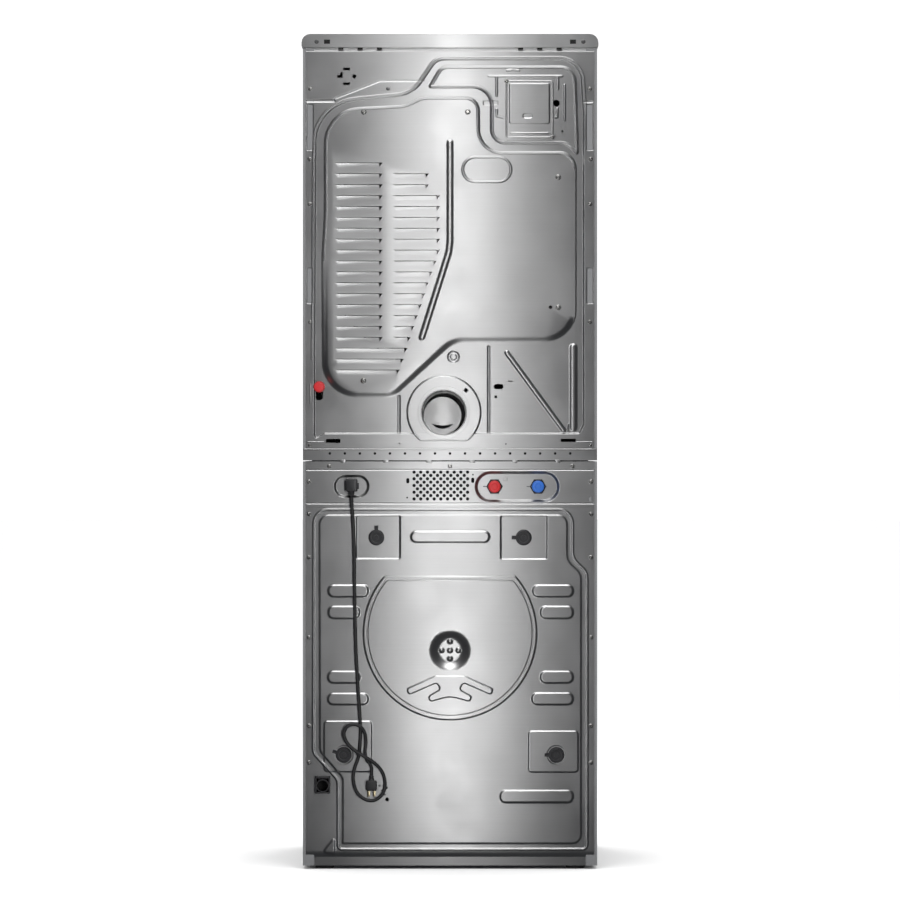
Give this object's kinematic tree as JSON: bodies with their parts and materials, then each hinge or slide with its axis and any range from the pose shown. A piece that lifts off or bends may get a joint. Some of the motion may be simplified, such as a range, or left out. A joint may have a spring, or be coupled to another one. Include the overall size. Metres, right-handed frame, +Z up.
{
  "type": "washer dryer stack",
  "caption": "Tall laundry tower: a vented gas dryer stacked on a front-loading washer, with a shared console, round doors, a pressed steel service rear and a power cord.",
  "frame": {"origin": "on the floor, under the centre of the machine's own box", "axes": "+Z up; the doors, console and knobs face -Y and the service rear faces +Y; -X is the left side seen from the front"},
  "size_m": [0.686, 0.8077, 1.929],
  "materials": {
    "galvanised_steel": "galvanised sheet, fine brushed sheen",
    "silver_paint": "satin silver enamel",
    "door_ring": "silver coated plastic ring",
    "black_plastic": "moulded, low sheen",
    "knob_plastic": "silver coated plastic",
    "white_plastic": "moulded, low sheen",
    "valve_body": "moulded, low sheen",
    "grey_rubber": "matte",
    "belt_rubber": "matte",
    "cord_jacket": "smooth jacket",
    "door_glass": "dark tinted",
    "stainless_drum": "polished stainless",
    "motor_casting": "dark coated casting",
    "lint_mesh": "fine mesh in a plastic frame",
    "red_plastic": "dust cap",
    "blue_plastic": "dust cap"
  },
  "bodies": {
    "cabinet": {"washer_base": "galvanised_steel", "dryer_base": "galvanised_steel", "washer_side_left": "silver_paint", "washer_side_right": "silver_paint", "dryer_side_left": "silver_paint", "dryer_side_right": "silver_paint", "washer_front_panel": "silver_paint", "dryer_front_panel": "silver_paint", "washer_rear_panel": "galvanised_steel", "washer_rear_crossbar": "galvanised_steel", "stack_bracket": "galvanised_steel", "dryer_rear_panel": "galvanised_steel", "terminal_cover": "galvanised_steel", "dryer_top": "silver_paint", "washer_tub": "white_plastic", "door_gasket": "grey_rubber", "washer_motor": "motor_casting", "washer_belt": "belt_rubber", "inlet_valve": "valve_body", "drain_outlet": "black_plastic", "drum_bulkhead": "galvanised_steel", "blower_housing": "white_plastic", "dryer_motor": "motor_casting", "drum_belt": "belt_rubber", "burner_housing": "galvanised_steel", "gas_pipe": "galvanised_steel", "exhaust_duct": "galvanised_steel", "washer_hinge": "silver_paint", "dryer_hinge": "silver_paint", "console": "black_plastic", "dispenser_box": "white_plastic", "power_cord": "cord_jacket", "cord_strain_relief": "black_plastic", "power_plug": "cord_jacket"},
    "washer_door": {"washer_door_frame": "door_ring", "washer_door_bowl": "door_glass"},
    "dryer_door": {"dryer_door_frame": "door_ring", "dryer_door_window": "door_glass"},
    "washer_drum_body": {"washer_drum": "stainless_drum", "washer_pulley": "motor_casting"},
    "washer_motor_rotor": {"washer_motor_pulley": "motor_casting"},
    "dryer_drum_body": {"dryer_drum": "stainless_drum"},
    "blower_rotor": {"blower_wheel": "black_plastic"},
    "drawer": {"dispenser_drawer": "white_plastic"},
    "washer_knob_body": {"washer_knob": "knob_plastic"},
    "dryer_knob_body": {"dryer_knob": "knob_plastic"},
    "washer_button_body": {"washer_start_button": "knob_plastic"},
    "dryer_button_body": {"dryer_start_button": "knob_plastic"},
    "lint_screen_body": {"lint_screen": "lint_mesh"},
    "transit_bolt_1_body": {"transit_bolt_1": "black_plastic"},
    "transit_bolt_2_body": {"transit_bolt_2": "black_plastic"},
    "transit_bolt_3_body": {"transit_bolt_3": "black_plastic"},
    "transit_bolt_4_body": {"transit_bolt_4": "black_plastic"},
    "gas_cap_body": {"gas_cap": "red_plastic"},
    "hot_cap_body": {"hot_cap": "red_plastic"},
    "cold_cap_body": {"cold_cap": "blue_plastic"},
    "foot_1_body": {"foot_1": "grey_rubber"},
    "foot_2_body": {"foot_2": "grey_rubber"},
    "foot_3_body": {"foot_3": "grey_rubber"},
    "foot_4_body": {"foot_4": "grey_rubber"}
  },
  "joints": [
    {"name": "washer_door_hinge", "type": "hinge", "parent": "cabinet", "child": "washer_door", "pos_m": [-0.262, -0.36, 0.505], "axis": [0, 0, -1], "range_deg": [0, 160]},
    {"name": "dryer_door_hinge", "type": "hinge", "parent": "cabinet", "child": "dryer_door", "pos_m": [-0.262, -0.36, 1.46], "axis": [0, 0, -1], "range_deg": [0, 160]},
    {"name": "washer_drum_spin", "type": "hinge", "parent": "cabinet", "child": "washer_drum_body", "pos_m": [0, 0, 0.505], "axis": [0, 1, 0], "continuous": true},
    {"name": "washer_motor_spin", "type": "hinge", "parent": "cabinet", "child": "washer_motor_rotor", "pos_m": [0.1, 0, 0.12], "axis": [0, 1, 0], "continuous": true},
    {"name": "dryer_drum_spin", "type": "hinge", "parent": "cabinet", "child": "dryer_drum_body", "pos_m": [0, 0, 1.46], "axis": [0, 1, 0], "continuous": true},
    {"name": "blower_spin", "type": "hinge", "parent": "cabinet", "child": "blower_rotor", "pos_m": [-0.12, 0, 1.062], "axis": [0, 1, 0], "continuous": true},
    {"name": "drawer_slide", "type": "slide", "parent": "cabinet", "child": "drawer", "axis": [0, -1, 0], "range_m": [0, 0.18]},
    {"name": "washer_knob_turn", "type": "hinge", "parent": "cabinet", "child": "washer_knob_body", "pos_m": [-0.235, -0.353, 0.9625], "axis": [0, -1, 0], "continuous": true},
    {"name": "dryer_knob_turn", "type": "hinge", "parent": "cabinet", "child": "dryer_knob_body", "pos_m": [0.235, -0.353, 0.9625], "axis": [0, -1, 0], "continuous": true},
    {"name": "washer_button_press", "type": "slide", "parent": "cabinet", "child": "washer_button_body", "axis": [0, 1, 0], "range_m": [0, 0.002], "stiffness_N_per_m": 400},
    {"name": "dryer_button_press", "type": "slide", "parent": "cabinet", "child": "dryer_button_body", "axis": [0, 1, 0], "range_m": [0, 0.002], "stiffness_N_per_m": 400},
    {"name": "lint_lift", "type": "slide", "parent": "cabinet", "child": "lint_screen_body", "axis": [0, 0, 1], "range_m": [0, 0.14]},
    {"name": "transit_1_draw", "type": "slide", "parent": "cabinet", "child": "transit_bolt_1_body", "axis": [0, 1, 0], "range_m": [0, 0.11]},
    {"name": "transit_2_draw", "type": "slide", "parent": "cabinet", "child": "transit_bolt_2_body", "axis": [0, 1, 0], "range_m": [0, 0.11]},
    {"name": "transit_3_draw", "type": "slide", "parent": "cabinet", "child": "transit_bolt_3_body", "axis": [0, 1, 0], "range_m": [0, 0.11]},
    {"name": "transit_4_draw", "type": "slide", "parent": "cabinet", "child": "transit_bolt_4_body", "axis": [0, 1, 0], "range_m": [0, 0.11]},
    {"name": "gas_cap_pull", "type": "slide", "parent": "cabinet", "child": "gas_cap_body", "axis": [0, 1, 0], "range_m": [0, 0.03]},
    {"name": "hot_cap_pull", "type": "slide", "parent": "cabinet", "child": "hot_cap_body", "axis": [0, 1, 0], "range_m": [0, 0.03]},
    {"name": "cold_cap_pull", "type": "slide", "parent": "cabinet", "child": "cold_cap_body", "axis": [0, 1, 0], "range_m": [0, 0.03]},
    {"name": "foot_1_screw", "type": "slide", "parent": "cabinet", "child": "foot_1_body", "axis": [0, 0, -1], "range_m": [0, 0.02]},
    {"name": "foot_2_screw", "type": "slide", "parent": "cabinet", "child": "foot_2_body", "axis": [0, 0, -1], "range_m": [0, 0.02]},
    {"name": "foot_3_screw", "type": "slide", "parent": "cabinet", "child": "foot_3_body", "axis": [0, 0, -1], "range_m": [0, 0.02]},
    {"name": "foot_4_screw", "type": "slide", "parent": "cabinet", "child": "foot_4_body", "axis": [0, 0, -1], "range_m": [0, 0.02]}
  ],
  "couplings": [
    {"joint": "washer_motor_spin", "follows": "washer_drum_spin", "ratio": 8.3333},
    {"joint": "blower_spin", "follows": "dryer_drum_spin", "ratio": 21.429}
  ]
}
